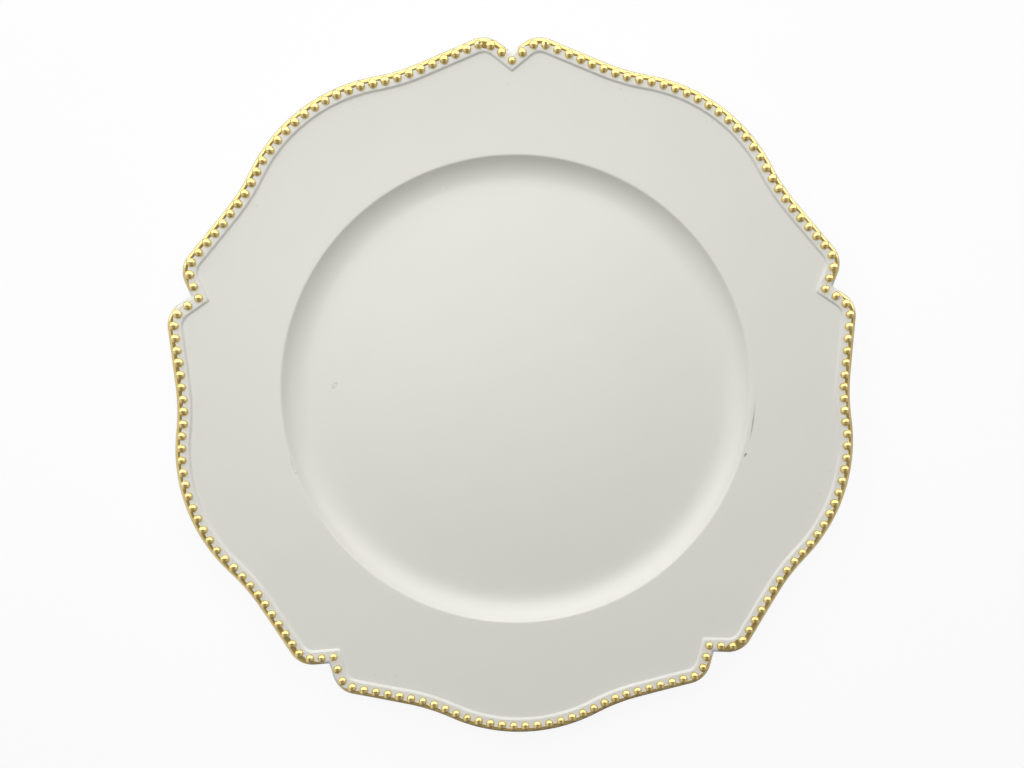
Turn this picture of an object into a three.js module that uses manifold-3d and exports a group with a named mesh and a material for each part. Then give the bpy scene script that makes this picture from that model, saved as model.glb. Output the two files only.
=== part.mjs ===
// A decorative charger plate: a shallow round well, a broad rim with a lobed edge, and a raised border that
// carries a row of gilded beads. Millimetres, +Z up, the table at z = 0, the axis of the plate on Z and one
// notch of the edge towards +Y.

import * as THREE from 'three';
import { mergeVertices } from 'three/addons/utils/BufferGeometryUtils.js';
import Module from 'manifold-3d';

const wasm = await Module();
wasm.setup();

// Outline of the edge, seen from above
const LOBES = 5;
const RIM_RADIUS = 165; // axis of the plate to the crest of a lobe
const CREST_ARC = 83.7; // radius of the swelling over a crest
const FLANK_DEPTH = 6.14; // how far inside RIM_RADIUS the line of a flank passes the axis
const WAIST_ARC = 105; // radius of the hollow that joins a crest to a flank
const SHOULDER_REACH = 2.23; // how far the sharp corner of a shoulder lies outside RIM_RADIUS
const SHOULDER_ARC = 13.2; // rounding of that corner
const LEAST_ROUND = 0.5; // rounding that is left where an inset line uses the shoulder up
const NOTCH_MOUTH = 21.9; // between the two shoulder corners of a notch
const NOTCH_DEPTH = 6.35; // from RIM_RADIUS in to the point of a notch

// Section of the moulding, from the axis outwards
const WALL = 2.5; // thickness of the moulding
const FOOT_HEIGHT = 1.6;
const FOOT_WIDTH = 5;
const FOOT_INSET = 9.2; // from the edge of the flat floor in to the foot ring
const WELL_RADIUS = 113; // where the wall of the well meets the rim
const WELL_DEPTH = 7.6;
const COVE_RADIUS = 15.5; // hollow between the floor and the wall of the well
const WALL_LEAN = THREE.MathUtils.degToRad(54); // steepest slope of that wall
const WELL_EDGE_ROUND = 2; // rounding where the wall turns into the rim
const RIM_RISE = 9; // climb of the rim from the well to RIM_RADIUS
const RIM_START_SLOPE = THREE.MathUtils.degToRad(7);

// Raised border
const BAND_WIDTH = 6; // from the outer edge in to the top of the bevel
const BEVEL_WIDTH = 1.5;
const BAND_RISE = 0.95;
const EDGE_ROUND = 1.4; // rounding of the outer edge of the moulding
const EDGE_BREAK = 0.6; // chamfer under that edge

// Gilded beading
const GILT_SKIN = 0.35; // thickness of the gilding on the outer edge
const GILT_MARGIN = 0.4; // flat strip of gilding inside the rounded edge
const SEAT_GAP = 0.1; // between the gilding and the moulding
const BEAD_DIAMETER = 4.2;
const BEAD_HEIGHT = 1.4;
const BEAD_GAP = 1.55; // between neighbouring beads
const BEAD_INSET = 3.35; // from the outer edge in to the row of bead centres

// Facets
const CREST_STEPS = 3;
const WAIST_STEPS = 2;
const FLANK_STEPS = 2;
const SHOULDER_STEPS = 3;
const NOTCH_STEPS = 1;
const COVE_STEPS = 4;
const ROUND_STEPS = 2;
const RIM_STEPS = 2;
const BEAD_SIDES = 6;
const BEAD_RINGS = 2;

const lacquer = new THREE.MeshStandardMaterial({ color: 0xdedcd2, roughness: 0.45, metalness: 0 });
const gilding = new THREE.MeshStandardMaterial({ color: 0xb8934a, roughness: 0.35, metalness: 0.9 });

const HALF_LOBE = Math.PI / LOBES;

// Solids and meshes

function solidOf(geometry) {
  const bare = geometry.toNonIndexed();
  bare.deleteAttribute('normal');
  bare.deleteAttribute('uv');
  const merged = mergeVertices(bare, 1e-4);
  const corners = merged.index.array;
  const kept = [];
  for (let i = 0; i < corners.length; i += 3) {
    const [a, b, c] = corners.slice(i, i + 3);
    if (a !== b && b !== c && c !== a) kept.push(a, b, c);
  }
  return new wasm.Manifold(new wasm.Mesh({
    numProp: 3,
    vertProperties: new Float32Array(merged.attributes.position.array),
    triVerts: new Uint32Array(kept),
  }));
}

function geometryOf(solid) {
  const mesh = solid.getMesh();
  const geometry = new THREE.BufferGeometry();
  geometry.setAttribute('position', new THREE.BufferAttribute(new Float32Array(mesh.vertProperties), 3));
  geometry.setIndex(new THREE.BufferAttribute(new Uint32Array(mesh.triVerts), 1));
  geometry.computeVertexNormals();
  return geometry;
}

function named(name, geometry, material) {
  const mesh = new THREE.Mesh(geometry, material);
  mesh.name = name;
  return mesh;
}

function surface(points, triangles) {
  const geometry = new THREE.BufferGeometry();
  geometry.setAttribute('position', new THREE.Float32BufferAttribute(points.flatMap((p) => p.toArray()), 3));
  geometry.setIndex(triangles);
  return geometry;
}

// Outline of the edge
// Half of a lobe runs from its crest, on +X, to the point of the notch. Each stretch of it is a piece with a
// length and a function that gives the point at a share of that length. `inset` moves the whole line inwards.

function polar(radius, angle) {
  return new THREE.Vector2(radius * Math.cos(angle), radius * Math.sin(angle));
}

function arcPiece(centre, radius, from, to) {
  return {
    length: radius * Math.abs(to - from),
    at: (share) => polar(radius, from + share * (to - from)).add(centre),
  };
}

function linePiece(start, end) {
  return { length: start.distanceTo(end), at: (share) => start.clone().lerp(end, share) };
}

// The point that lies at given distances along two unit directions.
function crossing(n1, distance1, n2, distance2) {
  const det = n1.cross(n2);
  return new THREE.Vector2(
    (distance1 * n2.y - distance2 * n1.y) / det,
    (distance2 * n1.x - distance1 * n2.x) / det,
  );
}

const shoulderRadius = RIM_RADIUS + SHOULDER_REACH;
const shoulderAngle = HALF_LOBE - Math.asin(NOTCH_MOUTH / 2 / shoulderRadius);
const flankDistance = RIM_RADIUS - FLANK_DEPTH;
const flankAngle = shoulderAngle - Math.acos(flankDistance / shoulderRadius);
const flankNormal = polar(1, flankAngle);
const notchAxis = polar(1, HALF_LOBE);
const notchPoint = polar(RIM_RADIUS - NOTCH_DEPTH, HALF_LOBE);
const notchSide = notchPoint.clone().sub(polar(shoulderRadius, shoulderAngle));
const notchNormal = polar(1, notchSide.angle() - Math.PI / 2);
const notchDistance = notchNormal.dot(notchPoint);
const crestCentre = new THREE.Vector2(RIM_RADIUS - CREST_ARC, 0);
const waistCentre = waistArcCentre();

// The hollow touches the crest from outside and the flank from outside.
function waistArcCentre() {
  const along = new THREE.Vector2(-flankNormal.y, flankNormal.x);
  const out = flankDistance + WAIST_ARC - flankNormal.dot(crestCentre);
  const side = Math.sqrt((CREST_ARC + WAIST_ARC) ** 2 - out ** 2);
  return crestCentre.clone().addScaledVector(flankNormal, out).addScaledVector(along, side);
}

function halfLobe(inset) {
  const waistAngle = waistCentre.clone().sub(crestCentre).angle();
  const crest = arcPiece(crestCentre, CREST_ARC - inset, 0, waistAngle);
  const waist = arcPiece(waistCentre, WAIST_ARC + inset, waistAngle + Math.PI, flankAngle + Math.PI);
  const round = Math.max(SHOULDER_ARC - inset, LEAST_ROUND);
  const centre = crossing(
    flankNormal, flankDistance - inset - round, notchNormal, notchDistance - inset - round,
  );
  const toAxis = -notchAxis.cross(centre);
  const axisAngle = HALF_LOBE + Math.asin(Math.min(1, toAxis / round));
  const shoulder = arcPiece(centre, round, flankAngle, Math.min(notchNormal.angle(), axisAngle));
  const flank = linePiece(waist.at(1), shoulder.at(0));
  const reachesAxis = axisAngle < notchNormal.angle();
  const mitre = notchAxis.clone().multiplyScalar((notchDistance - inset) / notchNormal.dot(notchAxis));
  const notch = linePiece(shoulder.at(1), reachesAxis ? shoulder.at(1) : mitre);
  return [crest, waist, flank, shoulder, notch];
}

// Places on half a lobe, as [piece, share], from the crest to the notch.
function stations() {
  const steps = [CREST_STEPS, WAIST_STEPS, FLANK_STEPS, SHOULDER_STEPS, NOTCH_STEPS];
  const inner = steps.flatMap((count, piece) => Array.from({ length: count }, (_, i) => [piece, i / count]));
  return [...inner, [steps.length - 1, 1]];
}

function placeAt(pieces, distance) {
  let rest = distance;
  for (let piece = 0; piece < pieces.length - 1; piece += 1) {
    if (rest <= pieces[piece].length) return [piece, rest / pieces[piece].length];
    rest -= pieces[piece].length;
  }
  return [pieces.length - 1, Math.min(1, rest / pieces[pieces.length - 1].length)];
}

// Heights of the rim

const floorTop = FOOT_HEIGHT + WALL;
const wellEdgeHeight = floorTop + WELL_DEPTH;
const rimWidth = RIM_RADIUS - WELL_RADIUS;
const rimCurve = (RIM_RISE / rimWidth - Math.tan(RIM_START_SLOPE)) / rimWidth;

function rimSlope(radius) {
  return Math.tan(RIM_START_SLOPE) + 2 * rimCurve * (radius - WELL_RADIUS);
}

function rimHeight(radius) {
  const out = radius - WELL_RADIUS;
  return wellEdgeHeight + Math.tan(RIM_START_SLOPE) * out + rimCurve * out ** 2;
}

function onRim(point, lift) {
  return new THREE.Vector3(point.x, point.y, rimHeight(point.length()) + lift);
}

// The rounded outer edge is a quarter circle; the gilding lies round the same centre, a little further out.
const edgeCentre = GILT_SKIN + SEAT_GAP + EDGE_ROUND;
const bandFoot = BAND_WIDTH + BEVEL_WIDTH;

function edgeRound(radius) {
  return Array.from({ length: ROUND_STEPS + 1 }, (_, i) => {
    const turn = (i / ROUND_STEPS) * Math.PI / 2;
    return [edgeCentre - radius * Math.sin(turn), BAND_RISE - EDGE_ROUND + radius * Math.cos(turn)];
  });
}

// Moulding
// Closed rings, each with the same number of points, run from the middle of the floor out over the rim, round
// the edge and back underneath to the middle of the base.

function wholeOutline(inset) {
  const half = halfLobe(inset);
  const side = stations().map(([piece, share]) => half[piece].at(share));
  const lobe = [...side.slice(1).reverse().map((p) => new THREE.Vector2(p.x, -p.y)), ...side.slice(0, -1)];
  const origin = new THREE.Vector2();
  return Array.from({ length: LOBES }, (_, k) => {
    const turn = Math.PI / 2 + (2 * k + 1) * HALF_LOBE;
    return lobe.map((p) => p.clone().rotateAround(origin, turn));
  }).flat();
}

function mouldingRings() {
  const bandEdge = wholeOutline(bandFoot);
  const angles = bandEdge.map((p) => p.angle());
  const circle = (radius, z) => angles.map((a) => new THREE.Vector3(...polar(radius, a).toArray(), z));
  const lobed = (inset, lift) => wholeOutline(inset).map((p) => onRim(p, lift));
  const between = (radius, share, lift) => bandEdge.map(
    (p) => onRim(p.clone().setLength(radius + share * (p.length() - radius)), lift),
  );

  // Well: a cove, a short straight wall, and a rounded corner into the rim
  const turn = WALL_LEAN - RIM_START_SLOPE;
  const leastStraight = Math.max(WALL, WELL_EDGE_ROUND) * Math.tan(turn / 2);
  const coveDepth = Math.min(
    COVE_RADIUS * (1 - Math.cos(WALL_LEAN)), WELL_DEPTH - leastStraight * Math.sin(WALL_LEAN),
  );
  const cove = coveDepth / (1 - Math.cos(WALL_LEAN));
  const straight = (WELL_DEPTH - coveDepth) / Math.sin(WALL_LEAN);
  const floorRadius = WELL_RADIUS - cove * Math.sin(WALL_LEAN) - straight * Math.cos(WALL_LEAN);
  const coveRing = (radius, share) => circle(
    floorRadius + radius * Math.sin(share * WALL_LEAN),
    floorTop + cove - radius * Math.cos(share * WALL_LEAN),
  );
  const shares = Array.from({ length: COVE_STEPS + 1 }, (_, i) => i / COVE_STEPS);
  const corner = new THREE.Vector2(WELL_RADIUS, wellEdgeHeight);
  const tangent = WELL_EDGE_ROUND * Math.tan(turn / 2);
  const wallEnd = corner.clone().sub(polar(tangent, WALL_LEAN));
  const roundCentre = wallEnd.clone().add(polar(WELL_EDGE_ROUND, WALL_LEAN - Math.PI / 2));
  const wellEdge = Array.from({ length: ROUND_STEPS + 1 }, (_, i) => {
    const lean = WALL_LEAN - (i / ROUND_STEPS) * turn;
    const p = polar(WELL_EDGE_ROUND, lean + Math.PI / 2).add(roundCentre);
    return circle(p.x, p.y);
  });
  const under = polar(1, WALL_LEAN - Math.PI / 2).add(polar(1, RIM_START_SLOPE - Math.PI / 2));
  const underCorner = corner.clone().addScaledVector(under, WALL / (1 + Math.cos(turn)));

  const rimStart = WELL_RADIUS + tangent;
  const rimShares = Array.from({ length: RIM_STEPS }, (_, i) => (i + 1) / RIM_STEPS);
  const side = GILT_SKIN + SEAT_GAP;
  const footOuter = floorRadius - FOOT_INSET;
  const footInner = footOuter - FOOT_WIDTH;
  return [
    ...shares.map((s) => coveRing(cove, s)),
    ...wellEdge,
    ...rimShares.map((s) => between(rimStart, s, 0)),
    lobed(BAND_WIDTH, BAND_RISE),
    ...edgeRound(EDGE_ROUND).map(([inset, lift]) => lobed(inset, lift)),
    lobed(side, EDGE_BREAK - WALL),
    lobed(side + EDGE_BREAK, -WALL),
    ...rimShares.toReversed().map((s) => between(underCorner.x, s, -WALL)),
    circle(underCorner.x, underCorner.y),
    ...shares.toReversed().map((s) => coveRing(cove + WALL, s)),
    circle(footOuter, FOOT_HEIGHT),
    circle(footOuter, 0),
    circle(footInner, 0),
    circle(footInner, FOOT_HEIGHT),
  ];
}

function mouldingGeometry() {
  const rings = mouldingRings();
  const count = rings[0].length;
  const top = rings.length * count;
  const points = [...rings.flat(), new THREE.Vector3(0, 0, floorTop), new THREE.Vector3(0, 0, FOOT_HEIGHT)];
  const last = top - count;
  const triangles = [];
  for (let i = 0; i < count; i += 1) {
    const next = (i + 1) % count;
    triangles.push(top, i, next, top + 1, last + next, last + i);
    for (let row = 0; row < last; row += count) {
      triangles.push(row + i, row + count + i, row + count + next, row + i, row + count + next, row + next);
    }
  }
  return geometryOf(solidOf(surface(points, triangles)));
}

// Gilded beading

const beadRow = halfLobe(BEAD_INSET);
const rowLength = beadRow.reduce((sum, piece) => sum + piece.length, 0);
const beadCount = Math.round(rowLength / (BEAD_DIAMETER + BEAD_GAP)); // beads on half a lobe
const beadPitch = rowLength / beadCount;

// A dome that stands on the border at a point of the bead row, square to the slope of the rim there.
function beadGeometry(point) {
  const profile = [new THREE.Vector2(0, 0)];
  for (let i = 0; i <= BEAD_RINGS; i += 1) {
    const rise = (i / BEAD_RINGS) * Math.PI / 2;
    profile.push(new THREE.Vector2(BEAD_DIAMETER / 2 * Math.cos(rise), BEAD_HEIGHT * Math.sin(rise)));
  }
  profile[profile.length - 1].x = 0;
  const slope = rimSlope(point.length());
  const out = point.clone().normalize();
  const normal = new THREE.Vector3(-slope * out.x, -slope * out.y, 1).normalize();
  const tilt = new THREE.Quaternion().setFromUnitVectors(new THREE.Vector3(0, 0, 1), normal);
  const seat = onRim(point, BAND_RISE).addScaledVector(normal, SEAT_GAP + GILT_SKIN / 2);
  return new THREE.LatheGeometry(profile, BEAD_SIDES)
    .rotateX(Math.PI / 2)
    .applyQuaternion(tilt)
    .translate(seat.x, seat.y, seat.z);
}

function beadPlace(number) {
  const [piece, share] = placeAt(beadRow, Math.abs(number) * beadPitch);
  const p = beadRow[piece].at(share);
  return new THREE.Vector2(p.x, number < 0 ? -p.y : p.y);
}

// The gilding wraps the rounded edge of one lobe. It stops midway between the last two beads before a notch,
// so that the notch bead and its two neighbours stand free.
function gildedEdgeGeometry() {
  const [lastPiece, lastShare] = placeAt(beadRow, (beadCount - 1.5) * beadPitch);
  const before = stations().filter(([p, s]) => p < lastPiece || (p === lastPiece && s < lastShare));
  const half = [...before, [lastPiece, lastShare]];
  const outside = edgeRound(EDGE_ROUND + SEAT_GAP + GILT_SKIN);
  const inside = edgeRound(EDGE_ROUND + SEAT_GAP);
  const reach = edgeCentre + GILT_MARGIN;
  const hem = EDGE_BREAK - WALL;
  const section = [
    [reach, outside[0][1]], ...outside, [0, hem],
    [GILT_SKIN, hem], ...inside.toReversed(), [reach, inside[0][1]],
  ];
  const columns = section.map(([inset, lift]) => {
    const pieces = halfLobe(inset);
    const side = half.map(([piece, share]) => onRim(pieces[piece].at(share), lift));
    return [...side.slice(1).reverse().map((p) => new THREE.Vector3(p.x, -p.y, p.z)), ...side];
  });
  const rows = columns[0].length;
  const width = section.length;
  const points = Array.from({ length: rows }, (_, row) => columns.map((column) => column[row])).flat();
  const triangles = [];
  for (let row = 0; row < rows - 1; row += 1) {
    for (let i = 0; i < width; i += 1) {
      const a = row * width + i;
      const b = row * width + (i + 1) % width;
      triangles.push(a, b, b + width, a, b + width, a + width);
    }
  }
  const end = (rows - 1) * width;
  for (let i = 0; i < width / 2 - 1; i += 1) {
    const j = width - 1 - i;
    triangles.push(i, j, j - 1, i, j - 1, i + 1);
    triangles.push(end + i, end + j - 1, end + j, end + i, end + i + 1, end + j - 1);
  }
  return surface(points, triangles);
}

function gildedBeadingGeometry() {
  let solid = solidOf(gildedEdgeGeometry());
  const last = beadCount - 2;
  for (let number = -last; number <= last; number += 1) {
    solid = solid.add(solidOf(beadGeometry(beadPlace(number))));
  }
  return geometryOf(solid);
}

// Assembly

function freeBead(name, number) {
  return named(name, geometryOf(solidOf(beadGeometry(beadPlace(number)))), gilding);
}

const plate = new THREE.Group();
plate.add(named('plate_body', mouldingGeometry(), lacquer));

const beading = gildedBeadingGeometry();
for (let lobe = 1; lobe <= LOBES; lobe += 1) {
  const run = new THREE.Group();
  run.rotation.z = Math.PI / 2 + (2 * lobe - 1) * HALF_LOBE;
  run.add(named(`gilded_beading_${lobe}`, beading, gilding));

  // The notch at the end of this lobe: the lobe's own last bead, the notch bead, and the next lobe's first
  run.add(freeBead(`notch_bead_${lobe}_right`, beadCount - 1), freeBead(`notch_bead_${lobe}`, beadCount));
  const nextLobe = new THREE.Group();
  nextLobe.rotation.z = run.rotation.z + 2 * HALF_LOBE;
  nextLobe.add(freeBead(`notch_bead_${lobe}_left`, 1 - beadCount));
  plate.add(run, nextLobe);
}

export default plate;
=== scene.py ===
# %% [markdown]
# # A lobed charger plate with gilded beading
# A charger is a wide show plate that is laid under a dinner plate. This one is a single moulding: it was
# sprayed with an off-white satin lacquer, and gold paint was then laid on its beads and on its rounded
# outer edge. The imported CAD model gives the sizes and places. Its solids are faceted, so this lesson
# works every surface out again with numpy, finely enough for soft reflections, and builds each finish
# from shader nodes.

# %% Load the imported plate
import math

import bpy
import numpy as np
from mathutils import Matrix, Vector


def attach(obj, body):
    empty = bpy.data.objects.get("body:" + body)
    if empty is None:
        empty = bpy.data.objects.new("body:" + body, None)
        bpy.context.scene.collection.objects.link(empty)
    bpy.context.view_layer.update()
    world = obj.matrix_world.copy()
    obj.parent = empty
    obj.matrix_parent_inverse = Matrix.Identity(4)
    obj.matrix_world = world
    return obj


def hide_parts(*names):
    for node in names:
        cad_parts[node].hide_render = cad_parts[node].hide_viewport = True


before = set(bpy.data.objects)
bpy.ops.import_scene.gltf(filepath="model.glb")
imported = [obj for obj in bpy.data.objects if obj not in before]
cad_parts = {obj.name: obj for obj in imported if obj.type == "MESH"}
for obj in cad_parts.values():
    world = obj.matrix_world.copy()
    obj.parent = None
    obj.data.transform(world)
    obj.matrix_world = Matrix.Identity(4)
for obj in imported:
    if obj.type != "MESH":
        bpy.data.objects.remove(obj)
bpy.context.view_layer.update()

MM = 0.001

# %% [markdown]
# ## The outline
# Seen from above the plate has five equal lobes that meet in five sharp notches. Half a lobe is drawn with
# five stretches: a wide arc over the crest, an arc that bends the other way, a straight flank, a small arc
# round the shoulder and the straight side of the notch. A free curve through measured points would do too,
# but arcs and lines can be moved inwards exactly: the arcs keep their centres and only change radius. That
# gives the edge, the bead row and the bevel in one go.

# %% Half a lobe as arcs and lines
LOBES = 5
HALF_LOBE = math.pi / LOBES
STRETCHES = 5
RIM_RADIUS = 165 * MM
CREST_ARC = 83.7 * MM
FLANK_DEPTH = 6.14 * MM
WAIST_ARC = 105 * MM
SHOULDER_REACH = 2.23 * MM
SHOULDER_ARC = 13.2 * MM
NOTCH_MOUTH = 21.9 * MM
NOTCH_DEPTH = 6.35 * MM


def unit(angle):
    """Unit vectors (cos, sin) at the given angles, on a new last axis."""
    return np.stack([np.cos(angle), np.sin(angle)], axis=-1)


def angle_of(vector):
    """The angle of a flat vector from the X axis."""
    return math.atan2(vector[1], vector[0])


shoulder_radius = RIM_RADIUS + SHOULDER_REACH
shoulder_angle = HALF_LOBE - math.asin(NOTCH_MOUTH / 2 / shoulder_radius)
flank_distance = RIM_RADIUS - FLANK_DEPTH
flank_angle = shoulder_angle - math.acos(flank_distance / shoulder_radius)
flank_normal = unit(flank_angle)
flank_along = unit(flank_angle + math.pi / 2)
notch_axis = unit(HALF_LOBE)
notch_point = (RIM_RADIUS - NOTCH_DEPTH) * notch_axis
notch_angle = angle_of(notch_point - shoulder_radius * unit(shoulder_angle)) - math.pi / 2
notch_normal = unit(notch_angle)
notch_distance = notch_normal @ notch_point

crest_centre = np.array([RIM_RADIUS - CREST_ARC, 0])
waist_out = flank_distance + WAIST_ARC - flank_normal @ crest_centre
waist_side = math.sqrt((CREST_ARC + WAIST_ARC) ** 2 - waist_out ** 2)
waist_centre = crest_centre + waist_out * flank_normal + waist_side * flank_along
waist_angle = angle_of(waist_centre - crest_centre)
shoulder_lines = np.array([flank_normal, notch_normal])
shoulder_distances = np.array([flank_distance, notch_distance]) - SHOULDER_ARC
shoulder_centre = np.linalg.solve(shoulder_lines, shoulder_distances)
flank_length = flank_along @ (shoulder_centre - waist_centre)
print("flank length in mm:", round(flank_length / MM, 2))


# %% The outline at any inset
def edge_points(inset, place):
    """Points of half a lobe's outline, moved in by inset.

    place counts the stretches from the crest: 0 to 1 the crest arc, 1 to 2 the waist arc, 2 to 3 the flank,
    3 to 4 the shoulder arc, 4 to 5 the side of the notch. A point of an arc is its centre plus its radius,
    less or plus the inset, in the direction of the point. A point of a line is a weighted mean of its ends.
    Negative places mirror the half.
    """
    inset, place = np.broadcast_arrays(inset, place)
    stretch = np.minimum(np.floor(np.abs(place)), STRETCHES - 1)
    share = np.abs(place) - stretch
    inset = inset[..., None]
    crest = crest_centre + (CREST_ARC - inset) * unit(share * waist_angle)
    waist_turn = math.pi + waist_angle + share * (flank_angle - waist_angle)
    waist = waist_centre + (WAIST_ARC + inset) * unit(waist_turn)
    flank_start = waist_centre - (WAIST_ARC + inset) * flank_normal
    flank = flank_start + share[..., None] * flank_length * flank_along
    shoulder_turn = flank_angle + share * (notch_angle - flank_angle)
    shoulder = shoulder_centre + (SHOULDER_ARC - inset) * unit(shoulder_turn)
    notch_start = shoulder_centre + (SHOULDER_ARC - inset) * notch_normal
    notch_end = (notch_distance - inset) / (notch_normal @ notch_axis) * notch_axis
    notch = notch_start + share[..., None] * (notch_end - notch_start)
    picks = [(stretch == number)[..., None] for number in range(STRETCHES)]
    points = np.select(picks, [crest, waist, flank, shoulder, notch])
    return points * np.stack([np.ones_like(place), np.where(place < 0, -1, 1)], axis=-1)


def lobe_turn(lobe):
    """The angle of the crest of lobe 1 to 5. Lobe 1 lies left of the notch at the back of the plate."""
    return math.pi / 2 + (2 * lobe - 1) * HALF_LOBE


def turned(points, angle):
    """Flat points turned about the axis of the plate."""
    cosine, sine = math.cos(angle), math.sin(angle)
    return points @ np.array([[cosine, sine], [-sine, cosine]])


print("crest in mm:", np.round(edge_points(0.0, 0.0) / MM, 2).tolist())

# %% [markdown]
# ## The section of the plate
# Cut through the middle, the plate shows a flat floor, a cove that rises to the rim, a broad rim that
# climbs towards the edge, a small bevel up to the raised border and a rounded outer edge. Underneath, the
# wall follows the same line down to a foot ring. A lathe would turn the round well, but the rim is lobed,
# so the section is carried round the outline: the well's rings are circles, the border's rings are the
# outline moved in, and the rim's rings pass from one to the other.

# %% Heights of the well and the rim
WALL = 2.5 * MM
FOOT_HEIGHT = 1.6 * MM
FOOT_WIDTH = 5 * MM
FOOT_INSET = 7.4 * MM
FOOT_ROUND = 0.5 * MM
WELL_RADIUS = 113 * MM
WELL_DEPTH = 7.6 * MM
COVE_START_RADIUS = 45 * MM
COVE_START_TURN = math.radians(4.5)
COVE_RADIUS = 14.5 * MM
WALL_LEAN = math.radians(54)
WELL_EDGE_ROUND = 1.5 * MM
RIM_RISE = 9 * MM
RIM_START_SLOPE = math.radians(7)

floor_top = FOOT_HEIGHT + WALL
rim_start = floor_top + WELL_DEPTH
rim_width = RIM_RADIUS - WELL_RADIUS
rim_curve = (RIM_RISE / rim_width - math.tan(RIM_START_SLOPE)) / rim_width


def rim_height(radius):
    """Height of the rim's top: a parabola over the radius that leaves the well's edge at the start slope."""
    out = radius - WELL_RADIUS
    return rim_start + math.tan(RIM_START_SLOPE) * out + rim_curve * out ** 2


def rim_slope(radius):
    """Slope of that parabola."""
    return math.tan(RIM_START_SLOPE) + 2 * rim_curve * (radius - WELL_RADIUS)


def arc_section(centre, radius, start, stop, steps):
    """Radius and height along an arc of the section; angles are measured from straight down, outwards."""
    angle = np.linspace(start, stop, steps + 1)
    return np.stack([centre[0] + radius * np.sin(angle), centre[1] - radius * np.cos(angle)], axis=-1)


lean_turn = WALL_LEAN - RIM_START_SLOPE
edge_setback = WELL_EDGE_ROUND * math.tan(lean_turn / 2)
start_size = COVE_START_RADIUS * np.array([math.sin(COVE_START_TURN), 1 - math.cos(COVE_START_TURN)])
cove_run = COVE_RADIUS * (math.sin(WALL_LEAN) - math.sin(COVE_START_TURN))
cove_rise = COVE_RADIUS * (math.cos(COVE_START_TURN) - math.cos(WALL_LEAN))
wall_rise = WELL_DEPTH - start_size[1] - cove_rise
cove_foot = WELL_RADIUS - wall_rise / math.tan(WALL_LEAN) - cove_run - start_size[0]
start_centre = np.array([cove_foot, floor_top + COVE_START_RADIUS])
start_normal = np.array([math.sin(COVE_START_TURN), -math.cos(COVE_START_TURN)])
cove_centre = start_centre + (COVE_START_RADIUS - COVE_RADIUS) * start_normal
well_corner = np.array([WELL_RADIUS, rim_start])
wall_normal = np.array([-math.sin(WALL_LEAN), math.cos(WALL_LEAN)])
rim_normal = np.array([-math.sin(RIM_START_SLOPE), math.cos(RIM_START_SLOPE)])
round_start = well_corner - edge_setback * np.array([math.cos(WALL_LEAN), math.sin(WALL_LEAN)])
round_centre = round_start - WELL_EDGE_ROUND * wall_normal
print("floor radius in mm:", round(cove_foot / MM, 2), "rim start height:", round(rim_start / MM, 2))

# %% Rings that follow the outline or the axis
# How many rows of points each stretch of half a lobe gets.
STRETCH_STEPS = (22, 12, 8, 14, 6)

half_places = np.concatenate([
    number + np.arange(steps) / steps for number, steps in enumerate(STRETCH_STEPS)
])
lobe_places = np.concatenate([-half_places[:0:-1], half_places, [STRETCHES]])


def smooth_step(share):
    """An S curve from 0 to 1 that starts and ends level."""
    share = np.clip(share, 0, 1)
    return share * share * (3 - 2 * share)


def lobed_rings(inset, lift):
    """Rings of the border: the outline moved in by each inset, at the height of the rim plus each lift."""
    one_lobe = edge_points(inset[:, None], lobe_places[None, :])
    flat = np.concatenate([turned(one_lobe, lobe_turn(lobe)) for lobe in range(1, LOBES + 1)], axis=1)
    height = rim_height(np.linalg.norm(flat, axis=-1)) + lift[:, None]
    return np.concatenate([flat, height[..., None]], axis=-1)


def round_rings(section, direction):
    """Rings of the well: each point of the section swept round the axis, at the given unit directions."""
    flat = section[:, 0, None, None] * direction[None]
    height = np.broadcast_to(section[:, 1, None, None], flat.shape[:2] + (1,))
    return np.concatenate([flat, height], axis=-1)


def rim_rings(inner_radius, outer_ring, share, drop):
    """Rings of the rim.

    The radius runs from the well's circle to a lobed ring by each share, and the height follows the rim's
    curve, less the drop.
    """
    outer_radius = np.linalg.norm(outer_ring[:, :2], axis=-1)
    radius = inner_radius + share[:, None] * (outer_radius - inner_radius)[None]
    direction = outer_ring[:, :2] / outer_radius[:, None]
    height = rim_height(radius) - drop
    return np.concatenate([radius[..., None] * direction[None], height[..., None]], axis=-1)


print("points round the plate:", LOBES * len(lobe_places))

# %% The raised border and its edge
BAND_WIDTH = 6.0 * MM
BAND_RISE = 0.95 * MM
BEVEL_WIDTH = 1.35 * MM
BEVEL_RINGS = 10
# The bevel's S curve is steeper than its whole width asks for, which leaves a level strip on both sides.
BEVEL_STEEPNESS = 1.2
EDGE_CENTRE = 2.4 * MM
EDGE_ARC = 2.3 * MM
FLAT_STEPS = 8
EDGE_STEPS = 9
SIDE_STEPS = 3
# The lower corner of the edge is broken, with one ring between its ends, at this share of its size.
EDGE_BREAK = 0.6 * MM
BREAK_MIDDLE = 0.3


def edge_section(way, proud):
    """Inset and lift on the rounded outer edge.

    way is measured along the section from where the flat top of the border turns down: negative on the flat,
    then round the quarter arc, then down the side. proud is the height of a coat of paint above the moulding.
    """
    turn = np.clip(way / EDGE_ARC, 0, math.pi / 2)
    reach = EDGE_ARC + proud
    inset = EDGE_CENTRE - np.minimum(way, 0) - reach * np.sin(turn)
    lift = BAND_RISE - EDGE_ARC + reach * np.cos(turn) - np.maximum(way - EDGE_ARC * math.pi / 2, 0)
    return inset, lift


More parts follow.
